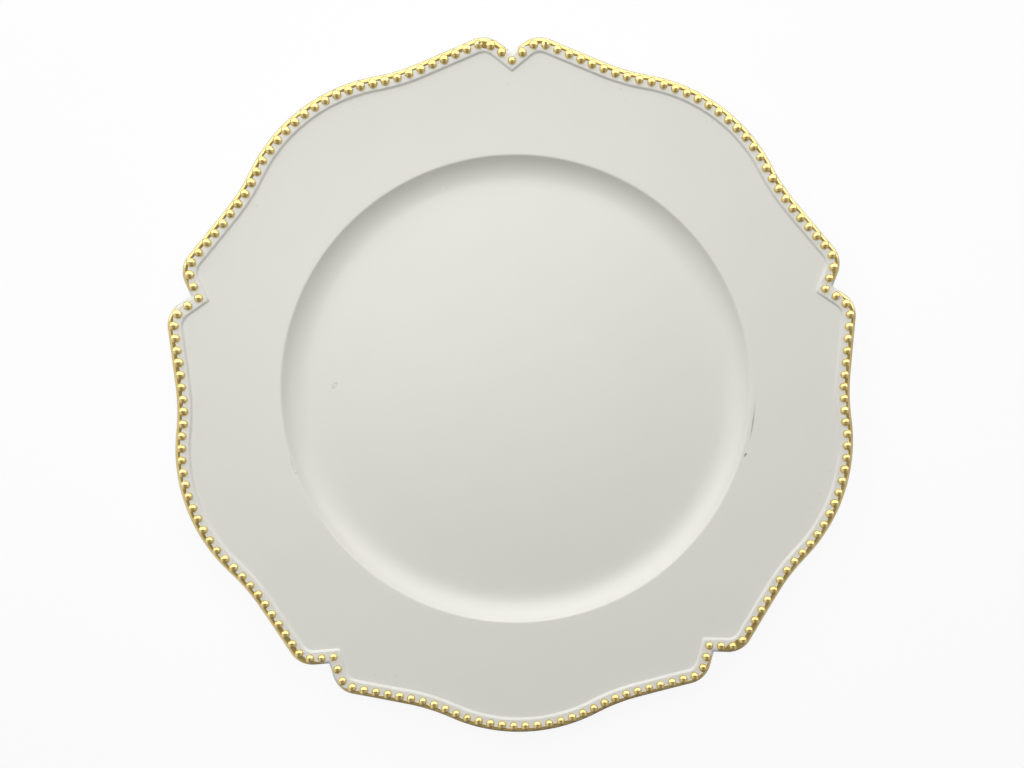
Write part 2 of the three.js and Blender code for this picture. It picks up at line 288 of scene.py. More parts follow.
bevel_share = np.linspace(0, 1, BEVEL_RINGS)
bevel_inset = BAND_WIDTH + BEVEL_WIDTH * (1 - bevel_share)
bevel_lift = BAND_RISE * smooth_step(0.5 + BEVEL_STEEPNESS * (bevel_share - 0.5))
side_drop = WALL + BAND_RISE - EDGE_ARC - EDGE_BREAK
edge_way = np.concatenate([
    np.linspace(EDGE_CENTRE - BAND_WIDTH, 0, FLAT_STEPS + 1)[1:],
    EDGE_ARC * np.linspace(0, math.pi / 2, EDGE_STEPS + 1)[1:],
    EDGE_ARC * math.pi / 2 + side_drop * np.linspace(0, 1, SIDE_STEPS + 1)[1:],
])
edge_inset, edge_lift = edge_section(edge_way, 0)
hem_inset = edge_inset[-1] + EDGE_BREAK * np.array([BREAK_MIDDLE, 1])
hem_lift = -WALL + EDGE_BREAK * np.array([BREAK_MIDDLE, 0])
border_inset = np.concatenate([bevel_inset, edge_inset, hem_inset])
border_lift = np.concatenate([bevel_lift, edge_lift, hem_lift])
border = lobed_rings(border_inset, border_lift)
directions = border[0, :, :2] / np.linalg.norm(border[0, :, :2], axis=-1, keepdims=True)
print("border rings:", border.shape)

# %% The upper side
POLE_RADIUS = 2 * MM
FLOOR_RINGS = 12
START_STEPS = 4
COVE_STEPS = 16
WELL_EDGE_STEPS = 8
RIM_RINGS = 26


def level_section(radius, height):
    """Radius and height along a level stretch of the section."""
    return np.stack([radius, np.full_like(radius, height)], axis=-1)


floor_section = level_section(np.linspace(POLE_RADIUS, cove_foot, FLOOR_RINGS)[:-1], floor_top)
start_section = arc_section(start_centre, COVE_START_RADIUS, 0, COVE_START_TURN, START_STEPS)
cove_section = arc_section(cove_centre, COVE_RADIUS, COVE_START_TURN, WALL_LEAN, COVE_STEPS)[1:]
well_edge_turn = np.linspace(WALL_LEAN, RIM_START_SLOPE, WELL_EDGE_STEPS + 1)
round_section = np.stack([
    round_centre[0] - WELL_EDGE_ROUND * np.sin(well_edge_turn),
    round_centre[1] + WELL_EDGE_ROUND * np.cos(well_edge_turn),
], axis=-1)
top_section = np.concatenate([floor_section, start_section, cove_section, round_section])
rim_top = rim_rings(top_section[-1, 0], border[0], np.linspace(0, 1, RIM_RINGS)[1:-1], 0)
print("rings of the well:", len(top_section), "rings of the rim:", len(rim_top))

# %% The underside
UNDER_RIM_RINGS = 14
UNDER_COVE_STEPS = 12
UNDER_START_STEPS = 3
FOOT_CORNER_RINGS = 4
UNDER_FLOOR_RINGS = 9
# A low disc is left under the middle, where the plastic entered the mould. One ring between the ends of its
# corner lies at this share of its height.
GATE_RADIUS = 5 * MM
GATE_HEIGHT = 0.5 * MM
GATE_MIDDLE = 0.3

under_corner = well_corner - WALL / (1 + math.cos(lean_turn)) * (wall_normal + rim_normal)
rim_under = rim_rings(under_corner[0], border[-1], np.linspace(1, 0, UNDER_RIM_RINGS)[1:], WALL)
cove_under = arc_section(cove_centre, COVE_RADIUS + WALL, WALL_LEAN, COVE_START_TURN, UNDER_COVE_STEPS)
start_under = arc_section(start_centre, COVE_START_RADIUS + WALL, COVE_START_TURN, 0, UNDER_START_STEPS)[1:]
foot_outer = cove_foot - FOOT_INSET
foot_inner = foot_outer - FOOT_WIDTH
quarter = np.linspace(0, math.pi / 2, FOOT_CORNER_RINGS)
shrinking = FOOT_ROUND * (1 - np.sin(quarter))
growing = FOOT_ROUND * (1 - np.cos(quarter))
foot_section = np.concatenate([
    np.stack([foot_outer + shrinking, FOOT_HEIGHT - growing], axis=-1),
    np.stack([foot_outer - growing, shrinking], axis=-1),
    np.stack([foot_inner + shrinking, growing], axis=-1),
    np.stack([foot_inner - growing, FOOT_HEIGHT - shrinking], axis=-1),
])
under_floor_radii = np.linspace(foot_inner - 2 * FOOT_ROUND, GATE_RADIUS + FOOT_ROUND, UNDER_FLOOR_RINGS)
gate_section = np.array([
    [GATE_RADIUS, FOOT_HEIGHT - GATE_MIDDLE * GATE_HEIGHT],
    [GATE_RADIUS - FOOT_ROUND, FOOT_HEIGHT - GATE_HEIGHT],
    [POLE_RADIUS, FOOT_HEIGHT - GATE_HEIGHT],
])
under_section = np.concatenate([
    cove_under,
    start_under,
    foot_section,
    level_section(under_floor_radii, FOOT_HEIGHT),
    gate_section,
])
print("rings of the underside:", len(rim_under) + len(under_section))


# %% From arrays to meshes
def grid_quads(rows, columns):
    """Quads of a grid of points that are numbered row by row; the last column joins up with the first."""
    row = np.arange(rows - 1)[:, None]
    column = np.arange(columns)[None, :]
    next_column = (column + 1) % columns
    corners = [
        row * columns + column,
        (row + 1) * columns + column,
        (row + 1) * columns + next_column,
        row * columns + next_column,
    ]
    return np.stack(np.broadcast_arrays(*corners), axis=-1).reshape(-1, 4)


def pole_fan(pole, ring, flip=False):
    """Triangles that close a ring of points with one point in its middle."""
    following = np.roll(ring, -1)
    edge = [following, ring] if flip else [ring, following]
    return np.stack([np.full_like(ring, pole), *edge], axis=-1)


def mesh_object(name, points, faces):
    """A smooth mesh object at the origin, linked to the scene."""
    mesh = bpy.data.meshes.new(name)
    mesh.from_pydata(points.tolist(), [], [face for group in faces for face in group.tolist()])
    mesh.shade_smooth()
    made = bpy.data.objects.new(name, mesh)
    bpy.context.scene.collection.objects.link(made)
    return made


def make_piece(name, points, faces, nodes, attributes):
    """A mesh with values for its points that stands for the named CAD nodes and rides with the plate."""
    piece = mesh_object(name, points, faces)
    for label, values in attributes.items():
        layer = piece.data.attributes.new(label, "FLOAT", "POINT")
        layer.data.foreach_set("value", np.ascontiguousarray(values, dtype=np.float32))
    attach(piece, "root")
    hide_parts(*nodes)
    return piece


# %% The whole plate
plate_rings = np.concatenate([
    round_rings(top_section, directions),
    rim_top,
    border,
    rim_under,
    round_rings(under_section, directions),
])
ring_count, ring_size = plate_rings.shape[:2]
poles = [[0, 0, floor_top], [0, 0, FOOT_HEIGHT - GATE_HEIGHT]]
plate_points = np.concatenate([plate_rings.reshape(-1, 3), poles])
first_ring = np.arange(ring_size)
last_ring = first_ring + (ring_count - 1) * ring_size
plate_faces = [
    grid_quads(ring_count, ring_size),
    pole_fan(ring_count * ring_size, first_ring),
    pole_fan(ring_count * ring_size + 1, last_ring, flip=True),
]
# The finish needs to know how far each point is from the edge and whether it is on the upper side.
outline_radius = np.linalg.norm(lobed_rings(np.zeros(1), np.zeros(1))[0, :, :2], axis=-1)
from_edge = outline_radius - np.linalg.norm(plate_rings[..., :2], axis=-1)
border_start = len(top_section) + len(rim_top)
border_stop = border_start + len(border)
from_edge[border_start:border_stop] = border_inset[:, None]
upper = np.arange(ring_count * ring_size) < border_stop * ring_size
plate = make_piece(
    "lacquered_plate",
    plate_points,
    plate_faces,
    ["plate_body"],
    {"from_edge": np.append(from_edge, [RIM_RADIUS, RIM_RADIUS]), "upper": np.append(upper, [1, 0])},
)
print("plate rings:", plate_rings.shape, "faces:", len(plate.data.polygons))

# %% [markdown]
# ## The row of beads
# Thirty-six low domed beads, a little longer across the border than along it, belong to each lobe, and
# one of them sits in the point of a notch. On the real plate they are part of the moulding and only their
# gold is laid on. Instances of one bead would be quicker to make, but real beads differ a little, so one
# small grid of points is repeated with a slightly different size, height and place each time.

# %% Places along the bead row
BEAD_ALONG = 4.2 * MM
BEAD_ACROSS = 4.45 * MM
BEAD_HEIGHT = 1.3 * MM
BEAD_INSET = 3.35 * MM
BEADS_PER_HALF = 18
ROW_SAMPLES = 4001

fine_places = np.linspace(0, STRETCHES, ROW_SAMPLES)
fine_steps = np.linalg.norm(np.diff(edge_points(BEAD_INSET, fine_places), axis=0), axis=-1)
fine_lengths = np.concatenate([[0], np.cumsum(fine_steps)])
bead_pitch = fine_lengths[-1] / BEADS_PER_HALF
print("bead pitch in mm:", round(bead_pitch / MM, 3))


def place_at(length):
    """The place on the outline this far along the bead row from the crest; negative on the mirrored half."""
    return np.sign(length) * np.interp(np.abs(length), fine_lengths, fine_places)


# %% One bead as a grid
BEAD_SIDES = 12
# Slopes of the rings from the border upwards, and radius and height of the foot below them, as shares of
# the bead's.
BEAD_SLOPES = np.radians([58, 47, 35, 23, 11])
BEAD_FOOT = (1.04, -0.36)
# How well the gold covers each ring, from the foot to the top. Where it covers less, the gold is also
# painted darker, as painted shade at the foot of the bead.
BEAD_COVER_AND_SHADE = np.array([0.75, 0.75, 1, 1, 1, 1, 1])


def bead_grid():
    """Points of a bead with radius and height 1.

    Its section is an arc: at each slope the radius goes with the sine and the height with the cosine. The arc
    is swept round from a foot that spreads into the border, and one point closes it on top.
    """
    steepest = BEAD_SLOPES[0]
    radius = np.sin(BEAD_SLOPES) / np.sin(steepest)
    height = (np.cos(BEAD_SLOPES) - np.cos(steepest)) / (1 - np.cos(steepest))
    section = np.concatenate([[BEAD_FOOT], np.stack([radius, height], -1)])
    rings = round_rings(section, unit(np.arange(BEAD_SIDES) * 2 * math.pi / BEAD_SIDES))
    return np.concatenate([rings.reshape(-1, 3), [[0, 0, 1]]])


bead_points = bead_grid()
bead_rings = len(BEAD_SLOPES) + 1
bead_faces = [
    grid_quads(bead_rings, BEAD_SIDES)[:, ::-1],
    pole_fan(len(bead_points) - 1, np.arange(BEAD_SIDES) + (bead_rings - 1) * BEAD_SIDES),
    np.arange(BEAD_SIDES)[None, ::-1],
]
bead_cover_and_shade = np.append(np.repeat(BEAD_COVER_AND_SHADE[:-1], BEAD_SIDES), BEAD_COVER_AND_SHADE[-1])
print("faces of one bead:", sum(len(group) for group in bead_faces))

# %% Beads along a lobe
NOTCH_BEAD_SHARE = 0.94
# How far the beads of each lobe have slipped along the row, in mm. The notches hold their beads in place,
# and the slip builds up over the next beads.
BEAD_SLIPS = {1: 0.1, 2: 0.5, 3: 0.55, 4: -0.3, 5: -0.7}
SLIP_EASE = 2
# How much the beads differ: in place across and along the border, and in width and height as shares.
STRAY_ACROSS = 0.07 * MM
STRAY_ALONG = 0.06 * MM
WIDTH_SPREAD = 0.025
HEIGHT_SPREAD = 0.04


def bead_row(lobe, numbers):
    """Points of the beads with these numbers on a lobe, counted from 0 at the crest to 18 in the notch.

    A bead is the unit bead, stretched to its own radius and height, stood on the border with its axis along
    the normal of the rim, which tilts inwards by the slope of the rim at that radius. Its first axis points
    out over the edge.
    """
    all_draws = np.random.default_rng(100 * lobe).normal(size=(2 * BEADS_PER_HALF + 1, 4))
    draws = all_draws[numbers + BEADS_PER_HALF]
    inset = BEAD_INSET + STRAY_ACROSS * draws[:, 0]
    free = np.clip((BEADS_PER_HALF - np.abs(numbers)) / SLIP_EASE, 0, 1)
    slip = BEAD_SLIPS[lobe] * MM * free
    place = place_at(numbers * bead_pitch + slip + STRAY_ALONG * draws[:, 1])
    flat = turned(edge_points(inset, place), lobe_turn(lobe))
    outward = turned(edge_points(inset - MM, place), lobe_turn(lobe)) - flat
    outward = np.concatenate([outward, np.zeros((len(flat), 1))], axis=-1)
    radius = np.linalg.norm(flat, axis=-1)
    slope = rim_slope(radius)[:, None] * flat / radius[:, None]
    upright = np.concatenate([-slope, np.ones((len(flat), 1))], axis=-1)
    upright /= np.linalg.norm(upright, axis=-1, keepdims=True)
    sideways = np.cross(upright, outward)
    sideways /= np.linalg.norm(sideways, axis=-1, keepdims=True)
    outward = np.cross(sideways, upright)
    seat = np.concatenate([flat, (rim_height(radius) + BAND_RISE)[:, None]], axis=-1)
    wide = 1 + WIDTH_SPREAD * draws[:, 2]
    across = wide * np.where(np.abs(numbers) == BEADS_PER_HALF, NOTCH_BEAD_SHARE, 1)
    high = BEAD_HEIGHT * (1 + HEIGHT_SPREAD * draws[:, 3])
    size = np.stack([BEAD_ACROSS / 2 * across, BEAD_ALONG / 2 * wide, high], axis=-1)
    local = bead_points[None] * size[:, None]
    axes = np.stack([outward, sideways, upright], axis=1)
    return seat[:, None] + local @ axes


# %% [markdown]
# ## The gold edge
# The gold on the rounded edge is a coat of paint laid on by hand: its inner border wanders, here and
# there it runs in between the beads, and towards each notch it tapers off. A mask in the lacquer's
# material could draw it, but a coat has a thickness and an edge that catches light, so it is a thin
# closed shell wrapped over the edge of the moulding.

# %% How far the gold reaches in
# For each lobe: the bead numbers where the gold starts and stops, its width from the edge in mm, and its
# floods, each with the bead numbers that it lies between and how many mm further in it reaches.
GILT_RUNS = {
    1: (-17.5, 17.4, 2.8, [(-17.4, -16.0, 0.8), (-16.4, -14.7, 2.4), (-14.4, -10.5, 0.5)]),
    2: (-16.4, 17.5, 2.8, [(-14.0, -10.0, 0.5), (11.6, 15.9, 1.1)]),
    3: (-16.1, 17.5, 2.3, [(-8.0, 6.0, 0.3)]),
    4: (-17.3, 17.3, 2.8, [(-17.3, -14.8, 2.5), (-15.2, -11.8, 0.8)]),
    5: (-17.5, 17.2, 2.7, [(-17.4, -15.9, 1.0), (2.0, 14.0, 0.2), (14.5, 16.8, 0.6)]),
}
# Floods and the taper at the ends come in over these many beads.
FLOOD_EASE = 0.6
LIP_TAPER = 1.3
LIP_LEAST = 0.85 * MM
# How much the width wanders, and the lengths over which it does.
SLOW_WANDER = 0.2 * MM
SLOW_STEP = 5 * MM
QUICK_WANDER = 0.1 * MM
QUICK_STEP = 1.3 * MM
BETWEEN_BEADS = 0.5 * MM
BETWEEN_STEP = 7 * MM


def wander(length, step, seed):
    """A smooth random curve from -1 to 1: a value is drawn at every step, and S curves join them."""
    number, share = np.divmod((length - length.min()) / step, 1)
    number = number.astype(int)
    draws = np.random.default_rng(seed).uniform(-1, 1, number.max() + 2)
    return draws[number] + (draws[number + 1] - draws[number]) * smooth_step(share)


def lip_width(lobe, length):
    """Width of a lobe's gold edge along the bead row.

    The width is the lobe's own, plus a slow and a quick wander, plus a little more between the beads, plus
    the floods, which rise and fall along S curves. At both ends it shrinks to the least width.
    """
    start, stop, width, floods = GILT_RUNS[lobe]
    number = length / bead_pitch
    between = np.sin(math.pi * number) ** 2 * (0.5 + 0.5 * wander(length, BETWEEN_STEP, 30 + lobe))
    slow = SLOW_WANDER * wander(length, SLOW_STEP, 10 + lobe)
    quick = QUICK_WANDER * wander(length, QUICK_STEP, 20 + lobe)
    whole = width * MM + slow + quick + BETWEEN_BEADS * between
    for first, last, reach in floods:
        inside = smooth_step((number - first) / FLOOD_EASE) * smooth_step((last - number) / FLOOD_EASE)
        whole = whole + reach * MM * inside
    taper = smooth_step(np.minimum(number - start, stop - number) / LIP_TAPER)
    return LIP_LEAST + (whole - LIP_LEAST) * taper


# %% The coat of gold as a shell
# Heights of the coat above the moulding: in its middle, at its borders and on its hidden underside.
COAT = 0.06 * MM
COAT_EDGE = -0.03 * MM
COAT_UNDER = -0.25 * MM
COAT_FLATNESS = 6
LIP_STEP = 0.5 * MM
LIP_COLUMNS = 12
LIP_LEAST_WAY = 0.2 * MM
# How far round the edge the gold reaches, and how much that wanders.
LIP_TURN = math.radians(58)
LIP_TURN_WANDER = math.radians(7)
LIP_TURN_STEP = 3 * MM
# How well the gold covers its inner border, and how fast it gets better from there. Where it covers less,
# the gold is also painted darker, as painted shade between the beads.
LIP_COVER_AND_SHADE = 0.62
LIP_COVER_GAIN = 3


def lip_shell(lobe):
    """Points of one lobe's gold edge, as rows along the edge and columns round its section, and its cover.

    The outer half of the columns runs from the inner border of the gold over the round edge, raised by the
    coat's thickness, and dips just below the moulding's surface at both borders. The other half comes back
    inside the moulding.
    """
    start, stop = GILT_RUNS[lobe][:2]
    length = np.arange(start * bead_pitch, stop * bead_pitch, LIP_STEP)
    width = lip_width(lobe, length)
    on_round = np.arcsin(np.clip((EDGE_CENTRE - width) / EDGE_ARC, 0, 1)) * EDGE_ARC
    first_way = on_round - np.maximum(width - EDGE_CENTRE, 0)
    last_way = EDGE_ARC * (LIP_TURN + LIP_TURN_WANDER * wander(length, LIP_TURN_STEP, 40 + lobe))
    last_way = first_way + np.maximum(last_way - first_way, LIP_LEAST_WAY)
    share = np.linspace(0, 1, LIP_COLUMNS)
    way = first_way[:, None] + (last_way - first_way)[:, None] * share
    coat = COAT_EDGE + (COAT - COAT_EDGE) * (1 - np.abs(2 * share - 1) ** COAT_FLATNESS)
    way = np.concatenate([way, way[:, ::-1]], axis=1)
    proud = np.concatenate([coat, np.full(LIP_COLUMNS, COAT_UNDER)])
    inset, lift = edge_section(way, proud[None])
    flat = turned(edge_points(inset, place_at(length)[:, None]), lobe_turn(lobe))
    height = rim_height(np.linalg.norm(flat, axis=-1)) + lift
    # The cover is lowest at the inner border, and there it also paints the gold darker, as painted shade.
    cover_and_shade = LIP_COVER_AND_SHADE + (1 - LIP_COVER_AND_SHADE) * smooth_step(LIP_COVER_GAIN * share)
    cover_and_shade = np.broadcast_to(np.concatenate([cover_and_shade, cover_and_shade]), height.shape)
    return np.concatenate([flat, height[..., None]], axis=-1), cover_and_shade


def lip_faces(rows):
    """Quads of the shell's grid, closed round the section, and strips that close its two ends."""
    loop = 2 * LIP_COLUMNS
    side = np.arange(LIP_COLUMNS - 1)
    strip = np.stack([side, side + 1, loop - 2 - side, loop - 1 - side], axis=-1)
    return [grid_quads(rows, loop), strip, strip[:, ::-1] + (rows - 1) * loop]


# %% The gilded runs and the free beads of the notches
run_numbers = np.arange(-(BEADS_PER_HALF - 2), BEADS_PER_HALF - 1)
# On the side towards the edge the gold of a bead runs down to its foot and into the gold of the edge.
# These are its cover there, which also sets how much painted shade the gold gets, and where that side
# starts and over what width it comes in, as shares of the bead's radius.
JOINED_COVER_AND_SHADE = 0.85
JOINED_START = -0.15
JOINED_EASE = 0.5
joined_share = smooth_step((bead_points[:, 0] - JOINED_START) / JOINED_EASE)
joined_cover_and_shade = np.maximum(bead_cover_and_shade, JOINED_COVER_AND_SHADE * joined_share)


def gilded_run(lobe):
    """One lobe's gold edge and the beads that join it, in one mesh."""
    shell, shell_cover_and_shade = lip_shell(lobe)
    beads = bead_row(lobe, run_numbers)
    shell_size = shell.shape[0] * shell.shape[1]
    faces = lip_faces(shell.shape[0])
    for number in range(len(beads)):
        offset = shell_size + number * len(bead_points)
        faces += [group + offset for group in bead_faces]
    points = np.concatenate([shell.reshape(-1, 3), beads.reshape(-1, 3)])
    cover_and_shade = np.concatenate([shell_cover_and_shade.reshape(-1), np.tile(joined_cover_and_shade, len(beads))])
    nodes = [f"gilded_beading_{lobe}"]
    return make_piece(f"gilt_edge_{lobe}", points, faces, nodes, {"cover_and_shade": cover_and_shade})


def free_bead(lobe, number, name, node):
    """One bead that stands free on the white border, in a notch or beside it."""
    points = bead_row(lobe, np.array([number]))[0]
    return make_piece(name, points, bead_faces, [node], {"cover_and_shade": bead_cover_and_shade})


gilt_pieces = [gilded_run(lobe) for lobe in range(1, LOBES + 1)]
for lobe in range(1, LOBES + 1):
    next_lobe = lobe % LOBES + 1
    gilt_pieces += [
        free_bead(lobe, BEADS_PER_HALF, f"gilt_bead_{lobe}", f"notch_bead_{lobe}"),
        free_bead(lobe, BEADS_PER_HALF - 1, f"gilt_bead_{lobe}_right", f"notch_bead_{lobe}_right"),
        free_bead(next_lobe, 1 - BEADS_PER_HALF, f"gilt_bead_{lobe}_left", f"notch_bead_{lobe}_left"),
    ]
print("gilded pieces:", len(gilt_pieces))

# %% [markdown]
# ## The finishes
# Both finishes are sprayed or brushed coats, so they share their effects as node groups: a slow change of
# tone, the fine ripple of dried paint, small specks and single marks. Each material places a group with its
# own values and keeps its own shader.

# %% A small kit for nodes
VECTOR = "NodeSocketVector"
FLOAT = "NodeSocketFloat"
COLOUR = "NodeSocketColor"


def add_node(tree, kind, inputs=None, **options):
    """A new node with its options set; an input is a value, or a socket that is linked to it."""
    made = tree.nodes.new(kind)
    for name, value in options.items():
        setattr(made, name, value)
    for name, value in (inputs or {}).items():
        if isinstance(value, bpy.types.NodeSocket):
            tree.links.new(value, made.inputs[name])
        else:
            made.inputs[name].default_value = value
    return made


def math_node(tree, operation, *values):
    """The result of a Math node."""
    return add_node(tree, "ShaderNodeMath", dict(enumerate(values)), operation=operation).outputs[0]


def vector_node(tree, operation, *values):
    """The outputs of a Vector Math node: Vector, and Value for a length."""
    return add_node(tree, "ShaderNodeVectorMath", dict(enumerate(values)), operation=operation).outputs


def axes_of(tree, vector):
    """The X, Y and Z of a vector."""
    return add_node(tree, "ShaderNodeSeparateXYZ", {"Vector": vector}).outputs


def mix_node(tree, share, first, second):
    """The value that lies between two values by a share."""
    return add_node(tree, "ShaderNodeMix", {0: share, 2: first, 3: second}).outputs[0]


def blend_node(tree, share, first, second):
    """The colour that lies between two colours by a share."""
    return add_node(tree, "ShaderNodeMix", {0: share, 6: first, 7: second}, data_type="RGBA").outputs[2]


def attribute_node(tree, name):
    """The value of one of the mesh's attributes."""
    return add_node(tree, "ShaderNodeAttribute", attribute_name=name).outputs["Fac"]


def ramp(tree, value, low, high, to_low=0.0, to_high=1.0):
    """A value rescaled smoothly from one span to another, and held at its ends."""
    made = add_node(
        tree, "ShaderNodeMapRange",
        {"Value": value, "From Min": low, "From Max": high, "To Min": to_low, "To Max": to_high},
        interpolation_type="SMOOTHSTEP",
    )
    return made.outputs["Result"]


def noise(tree, place, scale, detail=2.0, roughness=0.5):
    """The grey value of a noise texture."""
    made = add_node(
        tree, "ShaderNodeTexNoise",
        {"Vector": place, "Scale": scale, "Detail": detail, "Roughness": roughness},
    )
    return made.outputs["Fac"]


def new_group(name, inputs, outputs):
    """An empty node group with named sockets; returns its tree and its input and output sockets."""
    group = bpy.data.node_groups.new(name, "ShaderNodeTree")
    for label, kind in inputs:
        group.interface.new_socket(label, in_out="INPUT", socket_type=kind)
    for label, kind in outputs:
        group.interface.new_socket(label, in_out="OUTPUT", socket_type=kind)
    return group, group.nodes.new("NodeGroupInput").outputs, group.nodes.new("NodeGroupOutput").inputs


# %% Tone, ripple and specks
tone_group, given, result = new_group(
    "paint_tone",
    [("Place", VECTOR), ("Scale", FLOAT), ("First", COLOUR), ("Second", COLOUR)],
    [("Colour", COLOUR)],
)
tone_noise = noise(tone_group, given["Place"], given["Scale"], detail=1.0)
tone_share = ramp(tone_group, tone_noise, low=0.25, high=0.75)
tone_group.links.new(blend_node(tone_group, tone_share, given["First"], given["Second"]), result["Colour"])

ripple_group, given, result = new_group(
    "paint_ripple",
    [("Place", VECTOR), ("Scale", FLOAT)],
    [("Height", FLOAT)],
)
fine_ripple = noise(ripple_group, given["Place"], given["Scale"], roughness=0.6)
ripple_group.links.new(fine_ripple, result["Height"])

speck_group, given, result = new_group(
    "paint_specks",
    [("Place", VECTOR), ("Scale", FLOAT), ("Size", FLOAT), ("Share", FLOAT)],
    [("Mask", FLOAT)],
)
cells = add_node(speck_group, "ShaderNodeTexVoronoi", {"Vector": given["Place"], "Scale": given["Scale"]})
cell_draw = add_node(speck_group, "ShaderNodeSeparateColor", {"Color": cells.outputs["Color"]}).outputs[0]
chosen = math_node(speck_group, "LESS_THAN", cell_draw, given["Share"])
inside = math_node(speck_group, "LESS_THAN", cells.outputs["Distance"], given["Size"])
speck_group.links.new(math_node(speck_group, "MULTIPLY", chosen, inside), result["Mask"])
print("shared effects:", [group.name for group in (tone_group, ripple_group, speck_group)])

# %% A single mark
# A mark is a soft oval, which is full within this share of its half size and fades out from there.
MARK_CORE = 0.4
mark_group, given, result = new_group(
    "paint_mark",
    [("Place", VECTOR), ("Radius", FLOAT), ("Bearing", FLOAT), ("Lean", FLOAT), ("Half Size", VECTOR)],
    [("Mask", FLOAT)],
)
flat_place = vector_node(mark_group, "MULTIPLY", given["Place"], (1, 1, 0))["Vector"]
plate_radius = vector_node(mark_group, "LENGTH", flat_place)["Value"]
axis = axes_of(mark_group, given["Place"])
bearing = math_node(mark_group, "ARCTAN2", axis["Y"], axis["X"])
swing = math_node(mark_group, "SUBTRACT", bearing, given["Bearing"])
from_mark = add_node(mark_group, "ShaderNodeCombineXYZ", {
    "X": math_node(mark_group, "SUBTRACT", plate_radius, given["Radius"]),
    "Y": math_node(mark_group, "MULTIPLY", swing, given["Radius"]),
})
leaned = add_node(
    mark_group, "ShaderNodeVectorRotate",
    {"Vector": from_mark.outputs[0], "Angle": given["Lean"]},
    rotation_type="Z_AXIS",
)
scaled = vector_node(mark_group, "DIVIDE", leaned.outputs[0], given["Half Size"])["Vector"]
reach = vector_node(mark_group, "LENGTH", scaled)["Value"]
mark_group.links.new(ramp(mark_group, reach, MARK_CORE, 1.0, to_low=1.0, to_high=0.0), result["Mask"])
print("nodes of a mark:", len(mark_group.nodes))


# %% Materials that use the groups
def use_group(tree, group, inputs):
    """A shared effect in a material with its own values; returns its outputs."""
    return add_node(tree, "ShaderNodeGroup", inputs, node_tree=group).outputs


def new_material(name):
    """A bare material; returns it, its tree, its Principled shader and its Object coordinates."""
    material = bpy.data.materials.new(name)
    material.use_nodes = True
    tree = material.node_tree
    shader = tree.nodes["Principled BSDF"]
    place = tree.nodes.new("ShaderNodeTexCoord").outputs["Object"]
    return material, tree, shader, place


def add_bump(tree, shader, height, strength, distance):
    """Gives the shader the normals of a bump with this height."""
    bump = add_node(tree, "ShaderNodeBump", {"Height": height, "Strength": strength, "Distance": distance})
    tree.links.new(bump.outputs["Normal"], shader.inputs["Normal"])


# %% [markdown]
# ## Marks of use
# A plate that has been used shows it: a scuff where the foot of another plate rubbed the edge of the
# well, a nick, a chip on the floor and a few specks of gold beside the beads. They are too shallow for
# geometry, so each is a soft oval laid on the colour at a radius and a bearing on the plate.

# %% Marks on the lacquer
SCUFF = (0.34, 0.335, 0.31, 1)
NICK = (0.12, 0.115, 0.10, 1)
BARE = (0.86, 0.86, 0.85, 1)
# Radius in mm, bearing and lean in degrees, half width and half length in mm, strength, and colour.
LACQUER_MARKS = [
    (89.1, 177.0, 36, 1.1, 2.5, 0.65, SCUFF),
    (89.1, 177.0, 36, 0.5, 1.5, 0.95, BARE),
    (115.15, -7.9, 0, 0.50, 12.5, 0.50, SCUFF),
    (115.15, -8.4, 0, 0.45, 6.5, 0.70, SCUFF),
    (114.9, -16.4, 19, 0.6, 1.5, 0.90, NICK),
    (113.5, -163.5, 0, 0.4, 5.2, 0.35, SCUFF),
    (113.25, -161.2, 0, 0.6, 0.7, 0.55, SCUFF),
    (104.5, 109.1, 0, 0.8, 0.8, 0.80, BARE),
]


def lay_mark(tree, place, base, mark, part):
    """The base colour with one mark laid over it; part says how much of the mark shows at a point."""
    radius, bearing, lean, half_width, half_length, strength, colour = mark
    mask = use_group(tree, mark_group, {
        "Place": place,
        "Radius": radius * MM,
        "Bearing": math.radians(bearing),
        "Lean": math.radians(lean),
        "Half Size": (half_width * MM, half_length * MM, 1),
    })["Mask"]
    share = math_node(tree, "MULTIPLY", mask, math_node(tree, "MULTIPLY", part, strength))
    return blend_node(tree, share, base, colour)


# %% [markdown]
# ## Satin lacquer
# The lacquer is an off-white paint with a soft shine and hardly any change of tone. One flat colour would
# do from afar, but close up it would look too clean, so two near colours are mixed by slow noise, and
# fine specks of gold and grey lie in patches beside the beads, where the gold was brushed on.

# %% Satin lacquer
LACQUER_FIRST = (0.741, 0.735, 0.678, 1)
LACQUER_SECOND = (0.747, 0.739, 0.684, 1)
LACQUER_SHINE = 0.3
GOLD_DUST = (0.42, 0.33, 0.17, 1)
